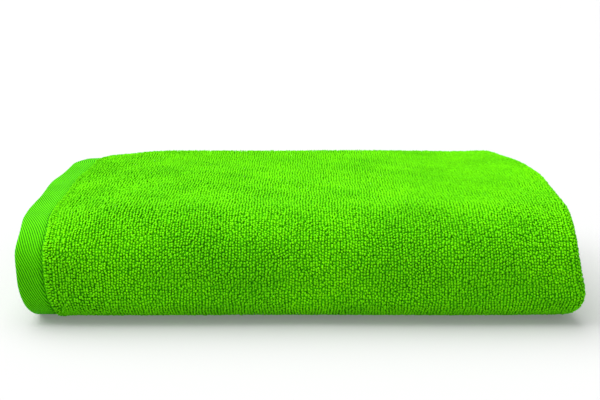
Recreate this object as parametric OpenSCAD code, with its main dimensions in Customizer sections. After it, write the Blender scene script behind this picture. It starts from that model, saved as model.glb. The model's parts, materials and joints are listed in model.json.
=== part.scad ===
// Bath towel of quick-drying terry, folded for a shelf or a travel bag.
// The open towel is folded in half along its length, then in thirds across it,
// and then once more in half, so twelve layers of terry lie on each other.
// It lies with its two long side hems together on the left (-X), the
// lengthwise fold on the right (+X) and the last fold at the front (-Y).
// Two layers that were folded together are called a ply. There are six plies.

/* [Open towel] */
// Width of the open towel, from one side hem to the other
towel_w = 700; // [500:10:900]
// Length of the open towel, from one end hem to the other
towel_l = 1400; // [1000:10:1800]
// Thickness of one layer of terry with the loops of both faces
layer_t = 6.25; // [5:0.25:8]

/* [Hems] */
// Width of the flat hem along each long side
side_hem_w = 18; // [12:1:30]
// Width of the flat hem across each short end
end_hem_w = 22; // [12:1:40]
// Thickness of a hem, which is ground cloth turned in with no loops
hem_t = 3; // [2:0.25:4]
// Distance of the stitching from the edge of the terry
stitch_inset = 2.5; // [1.5:0.25:5]
// Width of a line of stitching
stitch_w = 0.8; // [0.5:0.1:1.5]
// Height of a line of stitching above the hem
stitch_h = 0.4; // [0.2:0.05:0.6]

/* [Clearances] */
// Gap between the two halves, which lets the last fold open freely
parting_gap = 0.3; // [0.2:0.05:0.5]
// Gap between the two layers of one ply
layer_gap = 0.5; // [0.3:0.1:1]

/* [Hidden] */
$fn = 96;
ply_t = 2 * layer_t;
hinge_z = 3 * ply_t;
folded_w = towel_w / 2;
left_x = -folded_w / 2;
right_x = folded_w / 2;
terry_left_x = left_x + side_hem_w;
stitch_x = terry_left_x - stitch_inset;
// The length runs through six flat leaves, three half turns at the front
// (mean radii 0.5, 1.5 and 2.5 plies) and two at the back (0.5 and 1 ply).
leaf_l = (towel_l - 6 * PI * ply_t) / 6;
folded_d = 3 * ply_t + leaf_l + 1.5 * ply_t;
leaf_front_y = -folded_d / 2 + 3 * ply_t;
leaf_back_y = leaf_front_y + leaf_l;
// The upper half opens about an axis along X that is level with hinge_z and
// 0.75 * PI * ply_t in front of leaf_front_y, so that the middle ply keeps its
// length of 1.5 * PI * ply_t round the front when the towel is laid open.

TERRY = [0.36, 0.86, 0.03];
HEM = [0.28, 0.74, 0.04];
THREAD = [0.22, 0.62, 0.05];

// ---- Sections of one ply, with X across the towel and Y through the ply ----

// A flat tongue whose right end is a half circle, between two heights
module tongue(from_x, to_x, low, high) {
    radius = (high - low) / 2;
    translate([from_x, low]) square([to_x - radius - from_x, high - low]);
    translate([to_x - radius, low + radius]) circle(r = radius);
}

// Two layers of terry joined by the lengthwise fold at their right end
module terry_section(low = 0, high = ply_t) {
    middle = (low + high) / 2;
    difference() {
        tongue(terry_left_x, right_x, low, high);
        tongue(terry_left_x - 1, right_x - layer_t, middle - layer_gap / 2, middle + layer_gap / 2);
    }
}

// The two side hems of one ply, each in the middle of its layer
module side_hem_section() {
    for (layer = [0, 1])
        translate([left_x, (layer + 0.5) * layer_t - hem_t / 2]) square([side_hem_w, hem_t]);
}

// The end hem of one ply, turned round the lengthwise fold like the terry and
// grown on all its faces by extra
module end_hem_section(extra = 0) {
    outside = (layer_t - hem_t) / 2 - extra;
    inside = outside + hem_t + 2 * extra;
    difference() {
        tongue(left_x, right_x - outside, outside, ply_t - outside);
        tongue(left_x - 1, right_x - inside, inside, ply_t - inside);
    }
}

// Lines of stitching on both faces of the two side hems
module stitch_section() {
    for (layer = [0, 1])
        for (face = [-hem_t / 2 - stitch_h, hem_t / 2])
            translate([stitch_x, (layer + 0.5) * layer_t + face]) square([stitch_w, stitch_h]);
}

// ---- Ways a section runs: straight, or half a turn about a crease ----

// Straight from front_y to back_y, with the ply's lower face at height
module run_flat(height, front_y = leaf_front_y, back_y = leaf_back_y) {
    translate([0, back_y, height]) rotate([90, 0, 0])
        linear_extrude(height = back_y - front_y) children();
}

// Half a turn at the front about height, with the ply's inner face at radius
module turn_front(radius) {
    translate([0, leaf_front_y, hinge_z]) rotate([90, 0, 90]) rotate([0, 0, 90])
        rotate_extrude(angle = 180) rotate(90) mirror([0, 1]) translate([0, radius]) children();
}

// Half a turn at the back about height, with the ply's inner face at radius
module turn_back(height, radius) {
    translate([0, leaf_back_y, height]) rotate([90, 0, 90]) rotate([0, 0, -90])
        rotate_extrude(angle = 180) rotate(90) mirror([0, 1]) translate([0, radius]) children();
}

// ---- Terry ----

module lower_outer_leaf() { color(TERRY) run_flat(0) terry_section(); }
module lower_middle_leaf() { color(TERRY) run_flat(ply_t) terry_section(); }
module lower_inner_leaf() {
    color(TERRY) run_flat(2 * ply_t, leaf_front_y, leaf_back_y - end_hem_w)
        terry_section(high = ply_t - parting_gap / 2);
}

// The upper leaves stop short of the front folds by the parting gap
module upper_inner_leaf() {
    color(TERRY) run_flat(3 * ply_t, leaf_front_y + parting_gap) terry_section(low = parting_gap / 2);
}
module upper_middle_leaf() {
    color(TERRY) run_flat(4 * ply_t, leaf_front_y + parting_gap, leaf_back_y - end_hem_w) terry_section();
}
module upper_outer_leaf() {
    color(TERRY) run_flat(5 * ply_t, leaf_front_y + parting_gap) terry_section();
}

module inner_front_fold() { color(TERRY) turn_front(0) terry_section(low = parting_gap / 2); }
module middle_front_fold() { color(TERRY) turn_front(ply_t) terry_section(); }
module outer_front_fold() { color(TERRY) turn_front(2 * ply_t) terry_section(); }

// Joins the two lowest plies at the back
module lower_back_fold() { color(TERRY) turn_back(ply_t, 0) terry_section(low = parting_gap / 2); }
// Joins the fourth and sixth plies round the free end of the fifth
module upper_back_fold() { color(TERRY) turn_back(4.5 * ply_t, ply_t / 2) terry_section(); }

// ---- Side hems ----

module lower_outer_side_hem() { color(HEM) run_flat(0) side_hem_section(); }
module lower_middle_side_hem() { color(HEM) run_flat(ply_t) side_hem_section(); }
module lower_inner_side_hem() {
    color(HEM) run_flat(2 * ply_t, leaf_front_y, leaf_back_y - end_hem_w) side_hem_section();
}
module upper_inner_side_hem() {
    color(HEM) run_flat(3 * ply_t, leaf_front_y + parting_gap) side_hem_section();
}
module upper_middle_side_hem() {
    color(HEM) run_flat(4 * ply_t, leaf_front_y + parting_gap, leaf_back_y - end_hem_w)
        side_hem_section();
}
module upper_outer_side_hem() {
    color(HEM) run_flat(5 * ply_t, leaf_front_y + parting_gap) side_hem_section();
}
module inner_front_side_hem() { color(HEM) turn_front(0) side_hem_section(); }
module middle_front_side_hem() { color(HEM) turn_front(ply_t) side_hem_section(); }
module outer_front_side_hem() { color(HEM) turn_front(2 * ply_t) side_hem_section(); }
module lower_back_side_hem() { color(HEM) turn_back(ply_t, 0) side_hem_section(); }
module upper_back_side_hem() { color(HEM) turn_back(4.5 * ply_t, ply_t / 2) side_hem_section(); }

// ---- End hems, on the free ends of the third and fifth plies ----

module lower_end_hem() {
    color(HEM) run_flat(2 * ply_t, leaf_back_y - end_hem_w, leaf_back_y) end_hem_section();
}
module upper_end_hem() {
    color(HEM) run_flat(4 * ply_t, leaf_back_y - end_hem_w, leaf_back_y) end_hem_section();
}

// ---- Stitching ----

module lower_stitching() {
    color(THREAD) {
        run_flat(0) stitch_section();
        run_flat(ply_t) stitch_section();
        run_flat(2 * ply_t, leaf_front_y, leaf_back_y - end_hem_w) stitch_section();
        turn_back(ply_t, 0) stitch_section();
    }
}
module upper_stitching() {
    color(THREAD) {
        run_flat(3 * ply_t, leaf_front_y + parting_gap) stitch_section();
        run_flat(4 * ply_t, leaf_front_y + parting_gap, leaf_back_y - end_hem_w) stitch_section();
        run_flat(5 * ply_t, leaf_front_y + parting_gap) stitch_section();
        turn_back(4.5 * ply_t, ply_t / 2) stitch_section();
    }
}
module front_stitching() {
    color(THREAD) for (ply = [0, 1, 2]) turn_front(ply * ply_t) stitch_section();
}
// A line of stitching all round the end hem of the ply at height
module end_stitch_line(height) {
    seam_y = leaf_back_y - end_hem_w + stitch_inset;
    color(THREAD) run_flat(height, seam_y, seam_y + stitch_w) difference() {
        end_hem_section(stitch_h);
        end_hem_section();
    }
}
module lower_end_stitching() { end_stitch_line(2 * ply_t); }
module upper_end_stitching() { end_stitch_line(4 * ply_t); }

lower_outer_leaf();
lower_middle_leaf();
lower_inner_leaf();
upper_inner_leaf();
upper_middle_leaf();
upper_outer_leaf();
outer_front_fold();
middle_front_fold();
inner_front_fold();
lower_back_fold();
upper_back_fold();
lower_outer_side_hem();
lower_middle_side_hem();
lower_inner_side_hem();
upper_inner_side_hem();
upper_middle_side_hem();
upper_outer_side_hem();
outer_front_side_hem();
middle_front_side_hem();
inner_front_side_hem();
lower_back_side_hem();
upper_back_side_hem();
lower_end_hem();
upper_end_hem();
lower_stitching();
upper_stitching();
front_stitching();
lower_end_stitching();
upper_end_stitching();
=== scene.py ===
# %% [markdown]
# # A folded terry towel
# The towel is one cloth of terry, 700 x 1400 mm, hemmed all round. It is folded
# in half along its length, then in thirds, then once more in half, so it lies
# as twelve layers. Two layers that were folded together are called a ply here.
# We load the CAD frame first: it says where every ply lies, and the looks are
# then built round it, in metres.

# %% Load the frame
import json
import math

import bpy
import numpy as np
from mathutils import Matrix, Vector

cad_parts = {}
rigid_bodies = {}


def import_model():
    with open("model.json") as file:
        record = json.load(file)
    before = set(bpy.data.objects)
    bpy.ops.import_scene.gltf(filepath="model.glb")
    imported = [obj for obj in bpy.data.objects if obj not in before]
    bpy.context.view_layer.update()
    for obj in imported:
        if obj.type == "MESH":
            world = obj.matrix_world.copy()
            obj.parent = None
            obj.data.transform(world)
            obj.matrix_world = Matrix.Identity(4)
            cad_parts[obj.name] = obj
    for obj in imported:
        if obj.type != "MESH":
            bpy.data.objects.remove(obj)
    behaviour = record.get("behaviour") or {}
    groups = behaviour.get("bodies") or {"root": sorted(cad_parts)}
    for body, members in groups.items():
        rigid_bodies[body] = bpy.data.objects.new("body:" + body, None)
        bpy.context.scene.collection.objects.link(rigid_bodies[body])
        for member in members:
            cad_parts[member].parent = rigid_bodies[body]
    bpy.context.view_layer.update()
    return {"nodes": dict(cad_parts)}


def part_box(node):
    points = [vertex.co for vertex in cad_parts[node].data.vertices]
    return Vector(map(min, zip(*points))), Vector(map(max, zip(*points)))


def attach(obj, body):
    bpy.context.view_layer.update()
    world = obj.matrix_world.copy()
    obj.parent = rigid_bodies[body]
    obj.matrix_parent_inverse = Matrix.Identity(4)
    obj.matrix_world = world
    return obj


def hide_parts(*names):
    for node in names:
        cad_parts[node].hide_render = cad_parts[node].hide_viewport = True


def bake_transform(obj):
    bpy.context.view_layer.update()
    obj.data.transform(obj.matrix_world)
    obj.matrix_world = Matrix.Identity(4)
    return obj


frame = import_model()
bpy.ops.object.select_all(action="DESELECT")

# %% [markdown]
# ## Sizes
# Each size is read from a node of the frame. `PLY` is the height of one ply and
# `LAYER` that of one layer of terry. The plies bend round creases at the front
# and the back, and all of them lie between `LEFT_X`, where the side hems are,
# and `RIGHT_X`, where the cloth turns back on itself.

# %% Read the sizes from the frame
leaf_low, leaf_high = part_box("lower_outer_leaf")
hem_low, hem_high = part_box("lower_outer_side_hem")
end_low, end_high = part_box("lower_end_hem")
PLY = leaf_high[2] - leaf_low[2]
LAYER = PLY / 2
FRONT_Y, BACK_Y = leaf_low[1], leaf_high[1]
LEFT_X, TERRY_X, RIGHT_X = hem_low[0], leaf_low[0], leaf_high[0]
HEM_T = hem_high[2] - hem_low[2] - LAYER
END_HEM_W = end_high[1] - end_low[1]
CREASE_Z = 3 * PLY
TOP_Z = 6 * PLY
MM = 1e-3
BASE_T = 3.7 * MM  # one layer's ground cloth with its trodden pile, without the loops that stand up
print(f"ply {PLY / MM:.2f} mm, hem {HEM_T / MM:.1f} mm thick, end hem {END_HEM_W / MM:.0f} mm wide")

# %% [markdown]
# ## The camera
# The towel is seen from straight in front, from about 0.6 m away and a little
# above, so that the far edge looks much shorter than the near one. A long lens
# would flatten that, so the distance comes first and the lens follows from it.

# %% Place the camera
DOWNWARDS = 11.85  # degrees below level
camera_data = bpy.data.cameras.new("camera")
camera = bpy.data.objects.new("camera", camera_data)
bpy.context.scene.collection.objects.link(camera)
camera.location = (0.0, -0.710, 0.204)
camera.rotation_euler = (math.radians(90 - DOWNWARDS), 0.0, 0.0)
camera_data.sensor_width = 36.0
camera_data.lens = 59.8
bpy.context.scene.camera = camera
print("camera at", tuple(round(value, 3) for value in camera.location))

# %% [markdown]
# ## The way each ply runs
# From the side a ply is a line that runs straight and then turns half a circle
# round a crease. A `run` and a `turn` are the two kinds of stretch, and a list
# of them is a path. `along` walks a path by its length and gives the place and
# the direction there, as a tape measure would. We use this in place of a drawn
# curve, because the loops and the stitches are spaced by the same measure.

# %% Runs and turns
def run(from_y, to_y, height):
    """A straight stretch at a height."""
    way = math.copysign(1.0, to_y - from_y)
    return {"length": abs(to_y - from_y), "start": (from_y, height), "way": way}


def turn(centre_y, centre_z, radius, forwards):
    """Half a circle from its lowest to its highest point, round the front or the back."""
    return {
        "length": math.pi * radius,
        "centre": (centre_y, centre_z),
        "radius": radius,
        "side": -1.0 if forwards else 1.0,
    }


ROUNDING = 1e-9  # so that a point on the join of two stretches isn't missed


def along(path, s):
    """Places (y, z) and directions (y, z) at the lengths s along a path."""
    place, way = np.zeros((len(s), 2)), np.zeros((len(s), 2))
    begin = 0.0
    for stretch in path:
        here = s >= begin - ROUNDING
        t = s[here] - begin
        if "way" in stretch:
            y, z = stretch["start"]
            place[here] = np.stack([y + stretch["way"] * t, 0 * t + z], 1)
            way[here] = (stretch["way"], 0.0)
        else:
            y, z = stretch["centre"]
            angle, side, radius = t / stretch["radius"], stretch["side"], stretch["radius"]
            place[here] = np.stack([y + side * radius * np.sin(angle), z - radius * np.cos(angle)], 1)
            way[here] = np.stack([side * np.cos(angle), np.sin(angle)], 1)
        begin += stretch["length"]
    return place, way


def path_length(path):
    """The length of a whole path."""
    return sum(stretch["length"] for stretch in path)


print(f"half a turn round one ply is {path_length([turn(0, 0, PLY / 2, True)]) / MM:.1f} mm long")

# %% [markdown]
# From below, the outer ply runs to the front on the floor, turns up round all
# the others and comes back on top. The middle ply starts at the low back fold,
# and the inner ply ends at the high one, where it meets the outer ply again.

# %% The three paths
outer_path = [
    run(BACK_Y, FRONT_Y, 0.5 * PLY),
    turn(FRONT_Y, CREASE_Z, 2.5 * PLY, True),
    run(FRONT_Y, BACK_Y, 5.5 * PLY),
]
middle_path = [
    turn(BACK_Y, PLY, 0.5 * PLY, False),
    run(BACK_Y, FRONT_Y, 1.5 * PLY),
    turn(FRONT_Y, CREASE_Z, 1.5 * PLY, True),
    run(FRONT_Y, BACK_Y - END_HEM_W, 4.5 * PLY),
]
inner_path = [
    run(BACK_Y - END_HEM_W, FRONT_Y, 2.5 * PLY),
    turn(FRONT_Y, CREASE_Z, 0.5 * PLY, True),
    run(FRONT_Y, BACK_Y, 3.5 * PLY),
    turn(BACK_Y, 4.5 * PLY, PLY, False),
]
total = sum(path_length(path) for path in (outer_path, middle_path, inner_path)) + 2 * END_HEM_W
print(f"the three cloths and two end hems are {total:.3f} m long")

# %% [markdown]
# ## Across a ply
# Across the towel one ply is a hairpin: it runs right on its first layer, turns
# back at the lengthwise fold and runs left on its second layer. `across` walks
# that hairpin the way `along` walks the path. It gives X, the offset through
# the ply and the direction in which the cloth's outside faces.

# %% Walk across a ply
TURN_X = RIGHT_X - LAYER
FLAT_W = TURN_X - TERRY_X
TURN_R = LAYER / 2
TURN_W = math.pi * TURN_R
SECOND_W = FLAT_W + TURN_W  # the width at which the second layer begins
CLOTH_W = 2 * FLAT_W + TURN_W


def across(v):
    """X, offset, and outward direction (along X, through the ply) at the widths v."""
    angle = np.clip((v - FLAT_W) / TURN_R, 0, math.pi)
    x = TERRY_X + np.minimum(v, FLAT_W) - np.maximum(v - FLAT_W - TURN_W, 0) + TURN_R * np.sin(angle)
    return x, TURN_R * np.cos(angle), np.sin(angle), np.cos(angle)


print(f"one cloth is {CLOTH_W:.3f} m wide between its side hems")

# %% [markdown]
# ## How the cloth settles
# Real cloth is never as straight as its drawing. The hems are thinner than the
# terry, so the stack droops at the left. Its weight pushes the ends of the low
# plies outwards, and the top sinks in soft, shallow waves. All of this is one
# smooth shift of space, `settle`, which every piece goes through, so plies that
# lie on each other stay on each other. It leaves the middle of the stack level,
# because the towel opens there. A cloth simulation could droop the stack too,
# but twelve layers in contact would make it slow and could well tangle it.

# %% Settle points
def ease(value, start, end):
    """0 before start, 1 after end and smooth between them."""
    t = np.clip((value - start) / (end - start), 0, 1)
    return t * t * (3 - 2 * t)


def hill(value, centre, width):
    """1 at the centre and falling off smoothly on both sides."""
    return np.exp(-(((value - centre) / width) ** 2))


def settle(points):
    """The drawn places moved to where soft cloth lies."""
    x, y, z = points[:, 0].copy(), points[:, 1].copy(), points[:, 2].copy()
    height = np.clip(z / TOP_Z, 0, 1)
    upper, lower = np.maximum(2 * height - 1, 0), np.maximum(1 - 2 * height, 0)
    left = ease(-x, 105 * MM, -LEFT_X)
    right = ease(x, 120 * MM, RIGHT_X)
    front = ease(-y, 60 * MM, 125 * MM)
    back = ease(y, 80 * MM, 125 * MM)

    # The low hems sink to the floor, the left end droops and the top falls towards the front.
    flat_hem = ease(-x, 148 * MM, 162 * MM)
    z -= flat_hem * 1.2 * MM * lower
    z += MM * upper * (1.0 * right - left * (7.0 - 2.0 * ease(y, 40 * MM, 110 * MM)))
    z -= MM * upper * 3.5 * ease(-y, -30 * MM, 110 * MM) ** 2
    z += right * 1.0 * MM * lower * front

    # The right end narrows upwards, most of all at the back, and bulges low down and half way back.
    x -= right * MM * height**2 * (3.0 + 14.0 * ease(y, 45 * MM, 122 * MM) + 2.0 * front)
    x += right * MM * 4.0 * hill(height, 0.22, 0.22)
    x += right * MM * 5.5 * height**2 * hill(y, 10 * MM, 50 * MM)

    # The left end reaches out at the top, but hardly at the front and not at the back.
    reach = 5.0 + 6.0 * ease(y, -40 * MM, 30 * MM) - 14.0 * ease(y, 85 * MM, 125 * MM)
    x -= left * MM * reach * height**2
    x += left * front * MM * (3.0 * 4 * height * (1 - height) + 4.5 * ease(height, 0.65, 1.0))

    # The lowest plies are tucked in at both front corners.
    under = np.clip(1 - height / 0.4, 0, 1) ** 2 * front
    x += under * MM * (15.0 * left - 9.0 * right)

    # The front leans back above and is pushed out low down, and the back is a little hollow.
    y += front * MM * (3.5 * height**2 - 8.0 * hill(height, 0.12, 0.16))
    y -= back * MM * 4 * height * (1 - height)

    # There are waves on top, ripples all round and fine folds low on the right of the front.
    wave = np.sin(17 * x + 9 * y + 0.6) + 0.6 * np.sin(31 * x - 23 * y + 2.1)
    wave += 0.4 * np.sin(-12 * x + 47 * y)
    z += upper * 0.55 * MM * (wave - 1.0)
    ripple = np.sin(23 * x + 38 * z + 1.0) + 0.6 * np.sin(-41 * x + 61 * z + 0.4)
    y += (front + back) * 0.5 * MM * ripple
    x += (left + right) * 0.6 * MM * np.sin(33 * y + 70 * z)
    low_right = hill(x, 150 * MM, 38 * MM) * hill(height, 0.2, 0.12)
    y += front * low_right * 0.7 * MM * np.sin(700 * z + 20 * x)
    return np.stack([x, y, z], 1)


corners = settle(np.array([[LEFT_X, 0, TOP_Z], [RIGHT_X, 0, TOP_Z], [0, FRONT_Y, CREASE_Z]]))
print("settled corners:", np.round(corners, 4).tolist())

# %% [markdown]
# ## Points on a cloth
# `on_cloth` joins the two walks: it gives points at a length, a width and a
# height over the middle of the cloth, with the three directions that loops and
# stitches need to stand on it. Each cloth also wanders a little sideways, so
# that its edges don't line up like a deck of cards.

# %% Put points on a cloth
def wander(phase, s):
    """How far a cloth's edge strays sideways at the lengths s."""
    return MM * (0.9 * np.sin(14 * s + phase) + 0.5 * np.sin(37 * s + 2.3 * phase))


def lay(path, phase, s, x, offset):
    """Places at length s, sideways place x and offset through the ply, before they settle."""
    place, way = along(path, s)
    normal = np.stack([-way[:, 1], way[:, 0]], 1)
    share = x / RIGHT_X
    tucked_in = 0.45 * MM * phase  # the inner cloths' hems lie a little behind the outer one's
    shift = np.where(share > 0, wander(phase, s), wander(phase + 1.7, s) + tucked_in) * share**2
    y, z = place[:, 0] + offset * normal[:, 0], place[:, 1] + offset * normal[:, 1]
    return np.stack([x + shift, y, z], 1)


def standing(at):
    """The points at(0, 0), and the directions along the cloth, across it and out of it there."""
    step = 0.2 * MM
    here = at(0.0, 0.0)
    ahead = at(step, 0.0) - at(-step, 0.0)
    up = at(0.0, step) - here
    ahead /= np.linalg.norm(ahead, axis=1)[:, None]
    up -= ahead * (up * ahead).sum(1)[:, None]
    up /= np.linalg.norm(up, axis=1)[:, None]
    return here, ahead, np.cross(up, ahead), up


def on_cloth(path, phase, s, v, height):
    """Where points at length s, width v and height over the cloth's middle stand."""
    x, offset, out_x, out_n = across(v)

    def at(ds, dh):
        h = height + dh
        return settle(lay(path, phase, s + ds, x + h * out_x, offset + h * out_n))

    return standing(at)


# %% [markdown]
# ## Making meshes
# A towel has tens of thousands of loops, so meshes are filled from whole arrays
# of points, which is far quicker than an operator for each loop. `new_piece`
# turns points and four-sided faces into an object, with a UV map in metres of
# cloth where the surface needs one.

# %% Make meshes from arrays
def new_piece(name, points, faces, uv=None, values=None, *, material):
    """An object from points and four-sided faces, with smooth shading."""
    mesh = bpy.data.meshes.new(name)
    mesh.vertices.add(len(points))
    mesh.vertices.foreach_set("co", points.astype(np.float32).ravel())
    mesh.loops.add(faces.size)
    mesh.loops.foreach_set("vertex_index", faces.astype(np.int32).ravel())
    mesh.polygons.add(len(faces))
    mesh.polygons.foreach_set("loop_start", np.arange(0, faces.size, 4, dtype=np.int32))
    mesh.polygons.foreach_set("use_smooth", np.ones(len(faces), bool))
    mesh.update(calc_edges=True)
    if uv is not None:
        cloth_map = mesh.uv_layers.new(name="Cloth")
        cloth_map.data.foreach_set("uv", uv[faces.ravel()].astype(np.float32).ravel())
    for key, value in (values or {}).items():
        stored = mesh.attributes.new(key, "FLOAT", "POINT")
        stored.data.foreach_set("value", value.astype(np.float32))
    mesh.validate()
    mesh.materials.append(material)
    piece = bpy.data.objects.new(name, mesh)
    bpy.context.scene.collection.objects.link(piece)
    return piece


# %% [markdown]
# A cloth is two grids of points, its two faces, and a rim that closes it all
# round. Its faces follow from how the points are numbered, so they are worked
# out once here for every cloth and hem.

# %% Number the faces of a cloth
def grid_faces(rows, columns, first=0, flip=False):
    """Four-sided faces of a grid of points, which is numbered row by row."""
    corner = (np.arange(rows - 1)[:, None] * columns + np.arange(columns - 1)).ravel() + first
    face = np.stack([corner, corner + 1, corner + columns + 1, corner + columns], 1)
    return face[:, ::-1] if flip else face


def shell_faces(rows, columns):
    """Faces of a closed cloth: an outer grid, an inner grid numbered after it, and their rim."""
    inner = rows * columns
    top = np.arange(columns)
    side = np.arange(rows) * columns
    rims = []
    for edge, flip in (
        (top, False),
        (top + (rows - 1) * columns, True),
        (side, True),
        (side + columns - 1, False),
    ):
        face = np.stack([edge[:-1], edge[:-1] + inner, edge[1:] + inner, edge[1:]], 1)
        rims.append(face[:, ::-1] if flip else face)
    return np.concatenate([grid_faces(rows, columns), grid_faces(rows, columns, inner, True), *rims])


def spaced(start, end, step):
    """Evenly spaced values from start to end, about a step apart."""
    return np.linspace(start, end, max(2, round((end - start) / step) + 1))


print("a cloth of 3 by 3 points has", len(shell_faces(3, 3)), "faces with its rim")

# %% [markdown]
# ## Colours and surfaces
# The whole towel is dyed one bright lime green, so it is light and texture that tell its parts apart. A
# node group, `dyed_cotton`, gives the uneven take-up of dye: broad clouds and a fine speckle between a
# deep and a bright tone. Each material places it with its own tones and adds what is its own, and much of
# that is painted shade: the ground cloth is painted darker at the edges of its cells, the loops are
# painted darker at the root than at the tip, the hem's slanting twill ribs are painted darker in their
# grooves as well as bumped, and the sunken thread is painted darker than either, as the shade of its
# seam.

# %% A node group for dyed cotton
def maths(tree, operation, a, b=None, c=None):
    """A Math node's result from numbers or other nodes' outputs."""
    node = tree.nodes.new("ShaderNodeMath")
    node.operation = operation
    for slot, value in zip(node.inputs, (a, b, c)):
        if isinstance(value, (int, float)):
            slot.default_value = value
        elif value is not None:
            tree.links.new(value, slot)
    return node.outputs[0]


def noise(tree, place, scale, detail):
    """A Noise texture's value, which varies round a half."""
    node = tree.nodes.new("ShaderNodeTexNoise")
    node.inputs["Scale"].default_value = scale
    node.inputs["Detail"].default_value = detail
    tree.links.new(place, node.inputs["Vector"])
    return node.outputs["Fac"]


def dyed_cotton_group():
    """Tone chooses between the deep and the bright tone, which the materials drive with dye and with
    painted shade, and clouds and a speckle of dye shift it.
    """
    group = bpy.data.node_groups.new("dyed_cotton", "ShaderNodeTree")
    face = group.interface
    face.new_socket("Deep", in_out="INPUT", socket_type="NodeSocketColor")
    face.new_socket("Bright", in_out="INPUT", socket_type="NodeSocketColor")
    face.new_socket("Tone", in_out="INPUT", socket_type="NodeSocketFloat")
    face.new_socket("Color", in_out="OUTPUT", socket_type="NodeSocketColor")
    face.new_socket("Speckle", in_out="OUTPUT", socket_type="NodeSocketFloat")
    nodes, link = group.nodes, group.links.new
    given, out = nodes.new("NodeGroupInput"), nodes.new("NodeGroupOutput")
    place = nodes.new("ShaderNodeTexCoord").outputs["Object"]
    clouds = noise(group, place, scale=28.0, detail=3.0)
    speckle = noise(group, place, scale=900.0, detail=2.0)

    cloud_share, speckle_share = 0.5, 0.35
    shifted = maths(group, "MULTIPLY_ADD", speckle, speckle_share, given.outputs["Tone"])
    centred = maths(group, "SUBTRACT", shifted, (cloud_share + speckle_share) / 2)
    tone = maths(group, "MULTIPLY_ADD", clouds, cloud_share, centred)
    tone.node.use_clamp = True
    mix = nodes.new("ShaderNodeMix")
    mix.data_type = "RGBA"
    link(tone, mix.inputs["Factor"])
    link(given.outputs["Deep"], mix.inputs["A"])
    link(given.outputs["Bright"], mix.inputs["B"])
    link(mix.outputs["Result"], out.inputs["Color"])
    link(speckle, out.inputs["Speckle"])
    return group


dyed_cotton = dyed_cotton_group()
print("node group:", dyed_cotton.name, "with", len(dyed_cotton.nodes), "nodes")

# %% [markdown]
# Cotton is matt, with hardly any shine, and its fine fibres catch light at the
# edge, which the shader's sheen gives. Each material hands its nodes back, so
# that what is its own can be joined to them.

# %% A cotton material
def cotton(name, deep, bright, roughness, sheen, bump):
    """A matt cotton. It gives the material, its tree, the group's node and the bump's node."""
    material = bpy.data.materials.new(name)
    material.use_nodes = True
    material.diffuse_color = (*bright, 1.0)
    tree = material.node_tree
    shader = tree.nodes["Principled BSDF"]
    shader.inputs["Roughness"].default_value = roughness
    shader.inputs["Specular IOR Level"].default_value = 0.03
    shader.inputs["Sheen Weight"].default_value = sheen
    shader.inputs["Sheen Roughness"].default_value = 0.5
    shader.inputs["Sheen Tint"].default_value = (0.15, 1.0, 0.01, 1.0)
    dye = tree.nodes.new("ShaderNodeGroup")
    dye.node_tree = dyed_cotton
    dye.inputs["Deep"].default_value = (*deep, 1.0)
    dye.inputs["Bright"].default_value = (*bright, 1.0)
    dye.inputs["Tone"].default_value = 0.5
    tree.links.new(dye.outputs["Color"], shader.inputs["Base Color"])
    relief = tree.nodes.new("ShaderNodeBump")
    relief.inputs["Strength"].default_value = bump
    relief.inputs["Distance"].default_value = 0.4 * MM
    tree.links.new(dye.outputs["Speckle"], relief.inputs["Height"])
    tree.links.new(relief.outputs["Normal"], shader.inputs["Normal"])
    return material, tree, dye, relief


def own_value(tree, name):
    """A value that is stored on the piece's own points."""
    node = tree.nodes.new("ShaderNodeAttribute")
    node.attribute_name = name
    return node.outputs["Fac"]


# %% [markdown]
# The ground cloth is seen between the loops and inside the folds. Small round cells, as wide as a loop,
# let it pass for trodden pile where no loops stand: they are bumps, and their colour is painted shade,
# bright in each middle and darker towards the edges between them.
# Each loop has a tone of its own, and painted shade makes it darker at its root and lighter at its tip;
# it reads both from two values stored on its points.

# %% Ground cloth and pile
ground_cotton, tree, dye, relief = cotton(
    "ground_cotton",
    deep=(0.020, 0.21, 0.001), bright=(0.13, 0.80, 0.002),
    roughness=0.95, sheen=0.1, bump=1.0,
)
cells = tree.nodes.new("ShaderNodeTexVoronoi")
cells.inputs["Scale"].default_value = 560.0
cell_place = tree.nodes.new("ShaderNodeTexCoord")
tree.links.new(cell_place.outputs["Object"], cells.inputs["Vector"])
from_middle = cells.outputs["Distance"]
# Painted shade: the ground's colour is darker towards each cell's edge, where shade would fall between
# loops, and brighter in its middle.
tree.links.new(maths(tree, "MULTIPLY_ADD", from_middle, -1.1, 0.95), dye.inputs["Tone"])
tree.links.new(maths(tree, "MULTIPLY", from_middle, -1.0), relief.inputs["Height"])
relief.inputs["Distance"].default_value = 1.0 * MM

pile_cotton, tree, dye, _ = cotton(
    "pile_cotton",
    deep=(0.046, 0.43, 0.0035), bright=(0.235, 0.97, 0.0012),
    roughness=0.9, sheen=0.18, bump=0.5,
)
# Painted shade: each loop's colour is darker at its root and lighter at its tip, by its rise.
painted_root_shade = maths(tree, "MULTIPLY_ADD", own_value(tree, "rise"), 0.55, -0.05)
tree.links.new(maths(tree, "MULTIPLY_ADD", own_value(tree, "tone"), 0.45, painted_root_shade), dye.inputs["Tone"])
print("terry:", ground_cotton.name, "and", pile_cotton.name)
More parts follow.
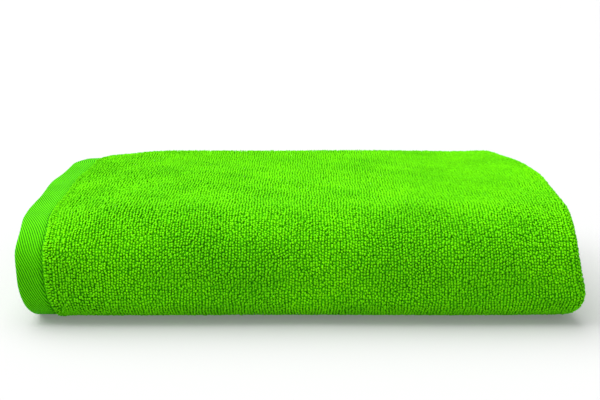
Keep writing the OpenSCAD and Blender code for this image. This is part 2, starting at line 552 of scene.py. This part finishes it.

# %% [markdown]
# Twill is woven so that its threads step sideways row by row, which gives fine ribs at a steep slant. The
# ribs follow the cloth, so they are drawn on the UV map, which is in metres of cloth: a Wave texture
# turned by a Mapping node. The ribs are bumps, and their colour is painted shade as well: deep in each
# groove and bright on each ridge.

# %% Hem twill and sewing thread
RIB_PITCH = 1.4 * MM
RIB_SLANT = math.radians(-22)
WAVE_AT_SCALE_1 = 2 * math.pi / 20  # a Wave texture repeats after this many metres at scale 1
hem_twill, tree, dye, relief = cotton(
    "hem_twill",
    deep=(0.012, 0.16, 0.0010), bright=(0.115, 0.74, 0.0010),
    roughness=0.8, sheen=0.10, bump=0.6,
)
cloth_map = tree.nodes.new("ShaderNodeUVMap")
cloth_map.uv_map = "Cloth"
slant = tree.nodes.new("ShaderNodeMapping")
slant.inputs["Rotation"].default_value = (0.0, 0.0, RIB_SLANT)
tree.links.new(cloth_map.outputs["UV"], slant.inputs["Vector"])
ribs = tree.nodes.new("ShaderNodeTexWave")
ribs.inputs["Scale"].default_value = WAVE_AT_SCALE_1 / RIB_PITCH
ribs.inputs["Distortion"].default_value = 0.6
ribs.inputs["Detail"].default_value = 1.0
tree.links.new(slant.outputs["Vector"], ribs.inputs["Vector"])
# Painted shade: the ribs' grooves take the deep tone and their ridges the bright one.
tree.links.new(ribs.outputs["Fac"], dye.inputs["Tone"])
rib_height = maths(tree, "MULTIPLY_ADD", dye.outputs["Speckle"], 0.3, ribs.outputs["Fac"])
tree.links.new(rib_height, relief.inputs["Height"])

# Painted shade: the thread's tones are darker than the hem's, standing for the shade in the sunken line
# of stitching.
sewing_thread, *_ = cotton(
    "sewing_thread",
    deep=(0.010, 0.11, 0.001), bright=(0.040, 0.32, 0.001),
    roughness=0.6, sheen=0.1, bump=0.6,
)
print("hems:", hem_twill.name, "and", sewing_thread.name)

# %% [markdown]
# ## The cloths
# On the real towel all plies are one cloth. Here it is divided at the back into three: the outer ply, the
# middle ply with the low back fold, and the inner ply with the high back fold. Each crosses the last
# fold, where the towel bends when it is opened. A cloth is a closed shell, as thick as its ground and the
# trodden part of its pile.

# %% Make the three cloths
def marks(path, run_step=7 * MM, turn_degrees=5.0):
    """Lengths along a path at which a cloth gets a row of points: close on turns, wide on runs."""
    found, begin = [0.0], 0.0
    for stretch in path:
        step = run_step if "way" in stretch else stretch["radius"] * math.radians(turn_degrees)
        found.extend(spaced(begin, begin + stretch["length"], step)[1:])
        begin += stretch["length"]
    return np.array(found)


def widths(start, end, flat_step, turn_step):
    """Widths at which a cloth gets a column of points, from start to end."""
    return np.concatenate(
        [
            spaced(start, FLAT_W, flat_step),
            spaced(FLAT_W, SECOND_W, turn_step)[1:],
            spaced(SECOND_W, end, flat_step)[1:],
        ]
    )


def shell(path, phase, s, x, offset, half, out_x, out_n):
    """Points and faces of a closed cloth: rows at s, columns at x and offset, half its thickness."""
    rows, columns = len(s), len(x)
    ss, hh = np.repeat(s, columns), np.broadcast_to(half, (rows, columns)).ravel()
    xx, oo, nx, nn = (np.tile(value, rows) for value in (x, offset, out_x, out_n))
    sides = [lay(path, phase, ss, xx + way * hh * nx, oo + way * hh * nn) for way in (1, -1)]
    return np.concatenate([settle(side) for side in sides]), shell_faces(rows, columns)


def make_cloth(name, path, phase):
    """One cloth from its left edge on one layer, round the lengthwise fold, to that on the other."""
    v = widths(0, CLOTH_W, 7 * MM, 0.8 * MM)
    x, offset, out_x, out_n = across(v)
    s = marks(path)
    points, faces = shell(path, phase, s, x, offset, BASE_T / 2, out_x, out_n)
    uv = np.stack([np.tile(v, len(s)), np.repeat(s, len(v))], 1)
    return new_piece(name, points, faces, np.concatenate([uv, uv]), material=ground_cotton)


PHASES = {"outer": 0.4, "middle": 2.6, "inner": 4.5}
PATHS = {"outer": outer_path, "middle": middle_path, "inner": inner_path}
cloths = {ply: make_cloth(f"{ply}_cloth", PATHS[ply], PHASES[ply]) for ply in PATHS}
for ply, piece in cloths.items():
    print(piece.name, len(piece.data.polygons), "faces")

# %% [markdown]
# ## The hems
# A hem is the cloth's loop-free border, turned in and sewn down, so it is flat,
# firm and thinner than the terry. It is a strip with a rolled edge on the left
# and a dent where the line of stitching pulls it in. It could be a part of the
# cloth, but it has a weave, a thickness and a CAD node of its own.

# %% Make the side hems
HEM_W = TERRY_X - LEFT_X
STITCH_X = TERRY_X - 1.8 * MM
HEM_UNDER = 2.0 * MM  # how far the hem runs on under the terry's edge
ROLL = 1.6 * MM
ROLL_R = 1.7 * MM  # a little more, so that the edge keeps some thickness
EDGE = np.array([0.0, 0.15, 0.4, 0.8, 1.4]) * MM  # where a rolled edge gets its points
SIDE_DENT = 0.62  # the share of the hem's thickness that its stitching pulls in


def rolled_edge(past):
    """The share of its thickness that a hem keeps at a distance past where its roll begins."""
    return np.sqrt(np.clip(1 - (past / ROLL_R).clip(0) ** 2, 0.02, 1))


def hem_half(x):
    """Half the hem's thickness at x."""
    dent = SIDE_DENT * hill(x, STITCH_X, 1.0 * MM)
    return HEM_T / 2 * rolled_edge(LEFT_X + ROLL - x) * (1 - dent)


def make_side_hems(name, path, phase):
    """The hems of both layers of a ply."""
    flat = spaced(LEFT_X + 2.2 * MM, TERRY_X + HEM_UNDER, 0.9 * MM)
    x = np.concatenate([LEFT_X + EDGE, flat])
    s = marks(path, run_step=3 * MM, turn_degrees=4.0)
    out_x, out_n = np.zeros(len(x)), np.ones(len(x))
    strips, faces, first = [], [], 0
    for layer in (1, -1):
        offset = np.full(len(x), layer * TURN_R)
        strip, face = shell(path, phase, s, x, offset, hem_half(x), out_x, out_n)
        strips.append(strip)
        faces.append(face + first)
        first += len(strip)
    uv = np.stack([np.tile(x - LEFT_X, len(s)), np.repeat(s, len(x))], 1)
    uvs = np.concatenate([uv] * 4)  # the same map on both faces of both strips
    return new_piece(name, np.concatenate(strips), np.concatenate(faces), uvs, material=hem_twill)


side_hems = {ply: make_side_hems(f"{ply}_side_hems", PATHS[ply], PHASES[ply]) for ply in PATHS}
for piece in side_hems.values():
    print(piece.name, len(piece.data.polygons), "faces")

# %% [markdown]
# The two short ends of the towel have wider hems. One closes the inner ply
# behind, and one closes the middle ply inside the high back fold. They turn
# round the lengthwise fold with the ply, so they use the same hairpin, made
# longer by the side hems' width at both ends.

# %% Make the end hems
END_PATHS = {
    "lower": [run(BACK_Y - END_HEM_W, BACK_Y, 2.5 * PLY)],
    "upper": [run(BACK_Y - END_HEM_W, BACK_Y, 4.5 * PLY)],
}
END_STITCH_S = 2.5 * MM  # where its stitching lies, from the edge of the terry
END_DENT = 0.3


def make_end_hem(name, path, phase):
    """A wide hem across one ply, with its rolled edge at the end of the path."""
    v = widths(-HEM_W, CLOTH_W + HEM_W, 6 * MM, 1.0 * MM)
    x, offset, out_x, out_n = across(v)
    flat = spaced(0.3 * MM, END_HEM_W - 2.2 * MM, 1.0 * MM)
    s = np.concatenate([flat, END_HEM_W - EDGE[::-1]])
    dented = 1 - END_DENT * hill(s, END_STITCH_S, 0.9 * MM)
    half = (HEM_T / 2 * rolled_edge(s - END_HEM_W + ROLL) * dented)[:, None]
    points, faces = shell(path, phase, s, x, offset, half, out_x, out_n)
    uv = np.stack([np.repeat(s, len(v)), np.tile(v, len(s))], 1)
    return new_piece(name, points, faces, np.concatenate([uv, uv]), material=hem_twill)


end_hems = {
    "lower": make_end_hem("lower_end_hem_cloth", END_PATHS["lower"], PHASES["inner"]),
    "upper": make_end_hem("upper_end_hem_cloth", END_PATHS["upper"], PHASES["middle"]),
}
for piece in end_hems.values():
    print(piece.name, len(piece.data.polygons), "faces")

# %% [markdown]
# ## The pile
# Terry is terry because a second warp is left slack and stands up in loops, in
# columns along the length of the cloth. That is its whole look, so the loops
# are real shapes and not only a bump. One loop is a short arch of soft yarn. It
# is modelled once and copied over the cloth by arrays, because a hair system or
# an instancer would not give meshes that can be exported. Each copy leans,
# turns and grows a little on its own, and neighbours share a slow swirl.

# %% Model one loop and one stitch
def arch(rings, sides, span, height, radius, waist):
    """A bent tube of yarn from foot to foot: its points, its faces and each point's rise, from 0 to 1."""
    points = []
    for angle in np.linspace(0, math.pi, rings):
        centre = np.array([-math.cos(angle) * span / 2, 0.0, math.sin(angle) * height])
        way = np.array([math.sin(angle) * span / 2, 0.0, math.cos(angle) * height])
        way /= np.linalg.norm(way)
        side = np.array([0.0, 1.0, 0.0])
        up = np.cross(way, side)
        thick = radius * (waist + (1 - waist) * math.sin(angle))
        for k in range(sides):
            turned = 2 * math.pi * (k + 0.25) / sides
            points.append(centre + thick * (math.cos(turned) * side + math.sin(turned) * up))
    points = np.array(points)
    ring, k = np.meshgrid(np.arange(rings - 1), np.arange(sides), indexing="ij")
    ring, k = ring.ravel() * sides, k.ravel()
    after = (k + 1) % sides
    faces = np.stack([ring + k, ring + after, ring + sides + after, ring + sides + k], 1)
    return points, faces, np.clip(points[:, 2] / (height + radius), 0, 1)


pile_loop = arch(rings=4, sides=3, span=1.25 * MM, height=1.25 * MM, radius=0.72 * MM, waist=0.65)
short_loop = arch(rings=4, sides=3, span=1.9 * MM, height=1.10 * MM, radius=0.66 * MM, waist=0.6)
stitch = arch(rings=5, sides=4, span=2.5 * MM, height=0.25 * MM, radius=0.34 * MM, waist=0.45)
print("one loop has", len(pile_loop[1]) * 2, "triangles and one stitch", len(stitch[1]) * 2)

# %% [markdown]
# Loops stand in columns, the distance between two columns being the pitch of
# the warp. Round a bend the cloth's outside is longer or shorter than its
# middle, so the rows are spaced by walking along the outside.

# %% Copy a shape over the cloth
def copies(shape, here, ahead, sideways, up, turned, lean, size):
    """The shape at each place, turned about the way out, leaning and scaled: all points and faces."""
    points, faces, _ = shape
    a, b, c = points[:, 0], points[:, 1], points[:, 2]
    cos, sin = np.cos(turned)[:, None], np.sin(turned)[:, None]
    tall = c * size[:, 1:]
    along_it = (cos * a - sin * b) * size[:, :1] + lean[:, :1] * tall
    across_it = (sin * a + cos * b) * size[:, :1] + lean[:, 1:] * tall
    placed = (
        here[:, None]
        + along_it[..., None] * ahead[:, None]
        + across_it[..., None] * sideways[:, None]
        + tall[..., None] * up[:, None]
    )
    numbered = faces + len(points) * np.arange(len(here))[:, None, None]
    return placed.reshape(-1, 3), numbered.reshape(-1, 4)


def even_lengths(path, phase, v, start, end, pitch):
    """Lengths whose places on the cloth's outside are a pitch apart, with half a pitch at each end."""
    fine = np.linspace(start, end, 600)
    outside = on_cloth(path, phase, fine, np.full(len(fine), v), LAYER / 2)[0]
    walked = np.concatenate([[0], np.cumsum(np.linalg.norm(np.diff(outside, axis=0), axis=1))])
    count = max(2, round(walked[-1] / pitch))
    return np.interp((np.arange(count) + 0.5) / count * walked[-1], walked, fine)


COLUMN_PITCH = 1.85 * MM
ROW_PITCH = 1.8 * MM
rows = even_lengths(outer_path, PHASES["outer"], 0.0, 0.0, path_length(outer_path), ROW_PITCH)
print("the outer ply has room for", len(rows), "rows of loops")

# %% [markdown]
# Every other column is shifted by a third of a row, because loops on a real
# towel don't stand in level rows, and the loops beside a side hem are turned a
# quarter, which closes the edge of the terry. All that is random comes from one
# generator with a fixed seed, so the towel is the same each time.

# %% Cover one stretch with loops
rng = np.random.default_rng(11)


def make_pile(name, ply, length, width, shape=pile_loop, spread=1.0, columns=COLUMN_PITCH, tall=1.0):
    """The loops of one stretch of a cloth, between the two lengths and the two widths."""
    path, phase = PATHS[ply], PHASES[ply]
    s = even_lengths(path, phase, sum(width) / 2, *length, ROW_PITCH * spread)
    v = spaced(width[0], width[1], columns * spread)
    ss, vv = (value.ravel() for value in np.meshgrid(s, v, indexing="ij"))
    count = len(ss)

    # Columns sway in slow waves, and each loop strays a little, but not over the cloth's edges.
    odd = np.tile(np.arange(len(v)) % 2, len(s))
    drift = 0.35 * MM * np.sin(160 * ss + 90 * vv) + 0.20 * MM * np.sin(410 * ss - 230 * vv + 1.3)
    vv = np.clip(vv + drift + rng.normal(0, 0.12 * MM, count), 0.6 * MM, CLOTH_W - 0.6 * MM)
    ss = ss + (odd - 0.5) * (s[1] - s[0]) / 3 + rng.normal(0, 0.15 * MM, count)
    ss = np.clip(ss, 1 * MM, path_length(path) - 1 * MM)
    root = BASE_T / 2 - 0.25 * MM  # the loops' feet are sunk into the ground cloth
    here, ahead, sideways, up = on_cloth(path, phase, ss, vv, np.full(count, root))

    # Neighbours turn and lean alike, and each loop differs a little from them.
    swirl = np.sin(55 * ss + 38 * vv) + np.sin(95 * vv - 70 * ss + 2.0)
    swirl += 0.7 * np.sin(190 * ss + 140 * vv)
    turned = 0.15 * swirl + rng.normal(0, 0.18, count)
    by_hem = np.minimum(vv, CLOTH_W - vv)
    turned += ease(-by_hem, -6 * MM, -3 * MM) * math.pi / 2
    lean = np.stack([0.10 * swirl + rng.normal(0, 0.18, count), rng.normal(0, 0.15, count)], 1)
    thick, high = rng.normal(1.0, 0.08, count), rng.normal(1.06, 0.12, count).clip(0.75, 1.35)
    size = np.stack([thick, tall * high], 1)
    points, faces = copies(shape, here, ahead, sideways, up, turned, lean, size)
    tone = (0.5 + 0.16 * rng.normal(0, 1, count) + 0.05 * swirl).clip(0, 1)
    # The rise drives the loops' painted shade, darker at the root; the tone is each loop's own.
    values = {"rise": np.tile(shape[2], count), "tone": np.repeat(tone, len(shape[0]))}
    return new_piece(name, points, faces, values=values, material=pile_cotton)


# %% [markdown]
# The towel gets loops wherever its terry can be seen: on top, round the front,
# round both back folds, at the lengthwise fold and underneath. The two faces
# that part when it is opened get them too. Most stretches that stay with one
# half are pieces of their own, so that they ride on it and keep their shape.

# %% Cover the cloths with loops
UP_TO = {ply: np.cumsum([0.0] + [stretch["length"] for stretch in PATHS[ply]]) for ply in PATHS}
THIRD = FLAT_W / 3
THIRDS = {
    "left": (0.0, THIRD - COLUMN_PITCH),
    "middle": (THIRD, 2 * THIRD - COLUMN_PITCH),
    "right": (2 * THIRD, FLAT_W),
}
SECOND_LAYER = (SECOND_W, CLOTH_W)
TURNED = (FLAT_W + 0.5 * MM, SECOND_W - 0.5 * MM)
EDGE_COLUMNS = 1.0 * MM


def stretch_of(ply, index):
    """Where the stretch of this index begins and ends on a ply's path."""
    return UP_TO[ply][index], UP_TO[ply][index + 1]


piles = {"lower_half": [], "upper_half": [], "outer": [], "middle": []}
for side, width in THIRDS.items():
    piles["upper_half"].append(make_pile(f"top_pile_{side}", "outer", stretch_of("outer", 2), width))
    piles["outer"].append(make_pile(f"front_pile_{side}", "outer", stretch_of("outer", 1), width))
    below = stretch_of("outer", 0)
    pile = make_pile(f"under_pile_{side}", "outer", below, width, short_loop, spread=1.9, tall=0.7)
    piles["lower_half"].append(pile)
for body, ply, index, name in (
    ("lower_half", "middle", 0, "low_back_pile"),
    ("upper_half", "inner", 3, "high_back_pile"),
):
    piles[body].append(make_pile(name, ply, stretch_of(ply, index), SECOND_LAYER))
print("pieces of pile so far:", sum(len(group) for group in piles.values()))

# %% [markdown]
# The faces that part lie inside the stack and are seen only when it is open, so
# their loops are fewer. The edge piles run round the lengthwise fold. Columns
# are measured along the cloth's middle, which is shorter there than its
# outside, so they are given a closer pitch.

# %% Loops on the parting faces and the lengthwise fold
half_way = SECOND_W + FLAT_W / 2
parting_widths = {"right": (SECOND_W, half_way), "left": (half_way + 2 * MM, CLOTH_W)}
for body, index, name in (("lower_half", 0, "low_parting_pile"), ("upper_half", 2, "high_parting_pile")):
    for side, width in parting_widths.items():
        stretch = stretch_of("inner", index)
        face = make_pile(f"{name}_{side}", "inner", stretch, width, spread=1.45, tall=0.85)
        piles[body].append(face)

for group, ply, name, length in (
    ("outer", "outer", "outer_edge_pile", (0.0, UP_TO["outer"][-1])),
    ("middle", "middle", "middle_edge_pile", (0.0, UP_TO["middle"][-1])),
    ("lower_half", "inner", "low_inner_edge_pile", stretch_of("inner", 0)),
    ("upper_half", "inner", "high_inner_edge_pile", (UP_TO["inner"][2], UP_TO["inner"][4])),
):
    piles[group].append(make_pile(name, ply, length, TURNED, columns=EDGE_COLUMNS))

for group in piles.values():
    for piece in group:
        print(piece.name, len(piece.data.polygons) * 2, "triangles")

# %% [markdown]
# ## The stitching
# A lockstitch shows as a row of short, slightly sunken bumps with small gaps.
# Each stitch is a short, low arch laid over the dent that its thread pulls into
# the hem. They go down both side hems of each ply and across the end hems.

# %% Sew the hems
STITCH_PITCH = 2.9 * MM
SUNK = 0.12 * MM  # how far a stitch sinks into its dent


def sew(name, rows):
    """Stitches in rows. A row is a path, its phase, lengths, widths, a height and a turn."""
    points, faces, count = [], [], 0
    for path, phase, s, v, height, turned in rows:
        here, ahead, sideways, up = on_cloth(path, phase, s, v, np.full(len(s), height))
        still = np.zeros((len(s), 2))
        yaw = turned + rng.normal(0, 0.06, len(s))
        placed, face = copies(stitch, here, ahead, sideways, up, yaw, still, still + 1)
        points.append(placed)
        faces.append(face + count)
        count += len(placed)
    return new_piece(name, np.concatenate(points), np.concatenate(faces), material=sewing_thread)


def down_the_hems(ply):
    """Rows along both layers' side hems of a ply, beside the terry."""
    path, phase = PATHS[ply], PHASES[ply]
    beside = STITCH_X - TERRY_X
    height = float(hem_half(np.array([STITCH_X]))[0]) - SUNK
    for v_one in (beside, CLOTH_W - beside):
        s = even_lengths(path, phase, v_one, 2 * MM, path_length(path) - 2 * MM, STITCH_PITCH)
        yield path, phase, s, np.full(len(s), v_one), height, 0.0


def across_end(which, phase):
    """Rows across both layers of an end hem, beside the terry."""
    height = HEM_T / 2 * (1 - END_DENT) - SUNK
    for start, end in ((-HEM_W + 2 * MM, FLAT_W), (SECOND_W, CLOTH_W + HEM_W - 2 * MM)):
        v = spaced(start, end, STITCH_PITCH)
        yield END_PATHS[which], phase, np.full(len(v), END_STITCH_S), v, height, math.pi / 2


stitches = {ply: sew(f"{ply}_stitches", down_the_hems(ply)) for ply in PATHS}
end_stitches = {
    "lower": sew("lower_end_stitches", across_end("lower", PHASES["inner"])),
    "upper": sew("upper_end_stitches", across_end("upper", PHASES["middle"])),
}
for piece in (*stitches.values(), *end_stitches.values()):
    print(piece.name, len(piece.data.polygons), "faces")

# %% [markdown]
# ## Floor and light
# The towel lies on a plain white floor under soft studio light. A large lamp
# above, to the left and slightly behind makes the top the brightest face, and
# the front falls away into deeper green below, which is what shows its round
# shape. A weaker lamp in front keeps the loops there readable.

# %% Floor, lamps and world
bpy.ops.mesh.primitive_plane_add(size=120.0, location=(0.0, 0.0, 0.0))
floor = bpy.context.object
floor.name = "floor"
white = bpy.data.materials.new("white_floor")
white.use_nodes = True
white_shader = white.node_tree.nodes["Principled BSDF"]
white_shader.inputs["Base Color"].default_value = (0.45, 0.45, 0.45, 1.0)
white_shader.inputs["Roughness"].default_value = 0.9
white_shader.inputs["Specular IOR Level"].default_value = 0.1
white_shader.inputs["Emission Color"].default_value = (1.0, 1.0, 1.0, 1.0)
white_shader.inputs["Emission Strength"].default_value = 0.18
floor.data.materials.append(white)

world = bpy.data.worlds.new("studio")
world.use_nodes = True
world.node_tree.nodes["Background"].inputs["Color"].default_value = (1.0, 1.0, 1.0, 1.0)
world.node_tree.nodes["Background"].inputs["Strength"].default_value = 0.5
bpy.context.scene.world = world


def lamp(name, towards, strength, softness):
    """A soft lamp as wide as the angle softness, that shines from the direction towards."""
    data = bpy.data.lights.new(name, "SUN")
    data.energy, data.angle = strength, math.radians(softness)
    item = bpy.data.objects.new(name, data)
    x, y, z = towards
    item.rotation_euler = (math.atan2(math.hypot(x, y), z), 0.0, math.atan2(x, -y))
    bpy.context.scene.collection.objects.link(item)


lamp("key", (-0.50, 0.22, 1.0), 4.2, 80.0)
lamp("fill", (-0.3, -0.55, 1.0), 0.6, 60.0)
bpy.context.scene.view_settings.view_transform = "Standard"

# %% [markdown]
# ## How it moves
# The towel opens at its last fold. A piece that stays with one half rides on it, and a piece that crosses
# the fold only has its place baked into its mesh. BENDS gives where each cloth would bend round the
# front: over most of its height, but for the inner one only within its sharp crease; nothing here uses
# it.

# %% Pieces, halves and folds
BENDS = {
    "outer": (1.3 * PLY, 4.4 * PLY),
    "middle": (2.2 * PLY, 3.7 * PLY),
    "inner": (CREASE_Z - 1.0 * MM, CREASE_Z + 1.0 * MM),
}


def bend(piece, ply):
    """Bake a piece's place into its mesh. The ply's bend heights are looked up but not used."""
    low, high = BENDS[ply]
    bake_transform(piece)


for ply in PATHS:
    slots = ((cloths[ply], "terry"), (side_hems[ply], "hem_twill"), (stitches[ply], "thread"))
    for piece, slot in slots:
        bend(piece, ply)
for which, body in (("lower", "lower_half"), ("upper", "upper_half")):
    for piece, slot in ((end_hems[which], "hem_twill"), (end_stitches[which], "thread")):
        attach(piece, body)
for group, pieces in piles.items():
    for piece in pieces:
        if group in BENDS:
            bend(piece, group)
        else:
            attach(piece, group)

# %% [markdown]
# Each CAD node has a piece that stands for it. A cloth or a side hem stands for
# several nodes, because it runs on where the CAD is divided. The CAD divides the
# side hems' stitching by halves and front, and here it is divided by plies, so
# each of these three pieces takes the place of one of those three nodes.

# %% The CAD nodes that each piece stands for
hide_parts("lower_outer_leaf", "outer_front_fold", "upper_outer_leaf")
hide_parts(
    "lower_back_fold", "lower_middle_leaf", "middle_front_fold", "upper_middle_leaf",
)
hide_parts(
    "lower_inner_leaf", "inner_front_fold", "upper_inner_leaf", "upper_back_fold",
)
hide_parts("lower_outer_side_hem", "outer_front_side_hem", "upper_outer_side_hem")
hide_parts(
    "lower_back_side_hem", "lower_middle_side_hem", "middle_front_side_hem", "upper_middle_side_hem",
)
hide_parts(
    "lower_inner_side_hem", "inner_front_side_hem", "upper_inner_side_hem", "upper_back_side_hem",
)
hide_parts("lower_end_hem")
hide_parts("upper_end_hem")
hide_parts("front_stitching")
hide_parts("lower_stitching")
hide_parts("upper_stitching")
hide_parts("lower_end_stitching")
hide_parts("upper_end_stitching")
print("each of the", len(frame["nodes"]), "CAD nodes has a piece that stands for it")

# %% [markdown]
# ## The cloth's flat size
# Each cloth says what size it was cut to before it was folded, so a check can
# tell that folding has not stretched it. The lengths add up to the towel's own
# 1.4 m with the two end hems, and a width comes to just under 0.7 m with the
# side hems.

def named(*starts):
    """The pieces whose names begin in one of these ways."""
    return [piece for piece in bpy.data.objects if piece.name.startswith(starts)]


on_it = {
    "outer": named("top_pile", "front_pile", "under_pile", "outer_edge_pile"),
    "middle": named("low_back_pile", "middle_edge_pile"),
    "inner": named("high_", "low_inner_edge_pile", "low_parting_pile"),
}
on_it["middle"] += [end_hems["upper"], end_stitches["upper"]]
on_it["inner"] += [end_hems["lower"], end_stitches["lower"]]
for ply, below in (("outer", floor), ("middle", cloths["outer"]), ("inner", cloths["middle"])):
    with_it = [side_hems[ply], stitches[ply], *on_it[ply]]
    flat = (CLOTH_W, path_length(PATHS[ply]))
    print(f"{ply}: flat {flat[0]:.3f} x {flat[1]:.3f} m, {len(with_it)} pieces go with it")
